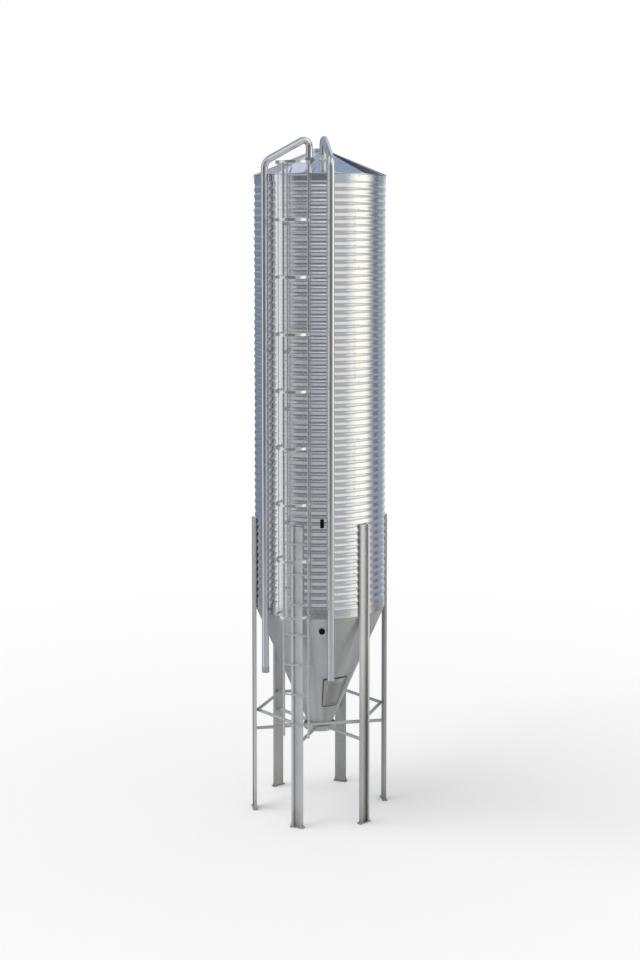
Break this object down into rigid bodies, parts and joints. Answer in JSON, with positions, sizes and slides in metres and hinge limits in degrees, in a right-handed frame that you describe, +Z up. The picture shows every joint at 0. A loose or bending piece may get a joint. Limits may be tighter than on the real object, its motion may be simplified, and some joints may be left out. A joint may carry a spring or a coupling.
{
  "type": "hopper-bottom grain silo",
  "caption": "Tall corrugated steel silo on legs with a conical hopper, a caged ladder and two roof pipes, for storing grain or feed.",
  "frame": {"origin": "on the ground, in the middle of the circle of legs, on the silo's axis", "axes": "+Z up along the silo's axis; the ladder, its cage and leg 1 face -Y; +X is to the right of someone facing the ladder"},
  "size_m": [2.024, 2.5012, 10.2934],
  "materials": {
    "galvanised_sheet": "corrugated galvanised sheet, bright",
    "galvanised_steel": "hot-dip galvanised steel, satin",
    "roof_sheet": "galvanised sheet, satin",
    "ladder_steel": "galvanised steel, satin",
    "pipe_steel": "galvanised tube, bright",
    "rubber_seal": "matt black rubber",
    "sight_glass": "dark glossy window"
  },
  "bodies": {
    "root": {"brace_ring": "galvanised_steel", "cage_hoop_1": "ladder_steel", "cage_hoop_2": "ladder_steel", "cage_hoop_3": "ladder_steel", "cage_hoop_4": "ladder_steel", "cage_hoop_5": "ladder_steel", "cage_hoop_6": "ladder_steel", "cage_hoop_7": "ladder_steel", "cage_hoop_8": "ladder_steel", "cage_hoop_9": "ladder_steel", "cage_strap_centre": "ladder_steel", "cage_strap_left": "ladder_steel", "cage_strap_right": "ladder_steel", "eave_ring": "galvanised_sheet", "fill_coupling": "pipe_steel", "fill_pipe": "pipe_steel", "hatch_cover": "galvanised_steel", "hatch_seal": "rubber_seal", "hopper_cone": "galvanised_steel", "ladder_lower": "ladder_steel", "ladder_middle": "ladder_steel", "ladder_tie_left": "ladder_steel", "ladder_tie_right": "ladder_steel", "ladder_upper": "ladder_steel", "leg_1": "galvanised_steel", "leg_2": "galvanised_steel", "leg_3": "galvanised_steel", "leg_4": "galvanised_steel", "leg_5": "galvanised_steel", "leg_6": "galvanised_steel", "lower_sight_frame": "galvanised_steel", "lower_sight_glass": "sight_glass", "outlet_brace": "galvanised_steel", "outlet_flange": "galvanised_steel", "return_pipe": "pipe_steel", "roof_cap": "roof_sheet", "roof_cone": "roof_sheet", "shell_ring_1": "galvanised_sheet", "shell_ring_2": "galvanised_sheet", "shell_ring_3": "galvanised_sheet", "shell_ring_4": "galvanised_sheet", "shell_ring_5": "galvanised_sheet", "shell_ring_6": "galvanised_sheet", "shell_ring_7": "galvanised_sheet", "shell_ring_8": "galvanised_sheet", "skirt_ring": "galvanised_steel", "upper_sight_window": "sight_glass"}
  },
  "joints": []
}
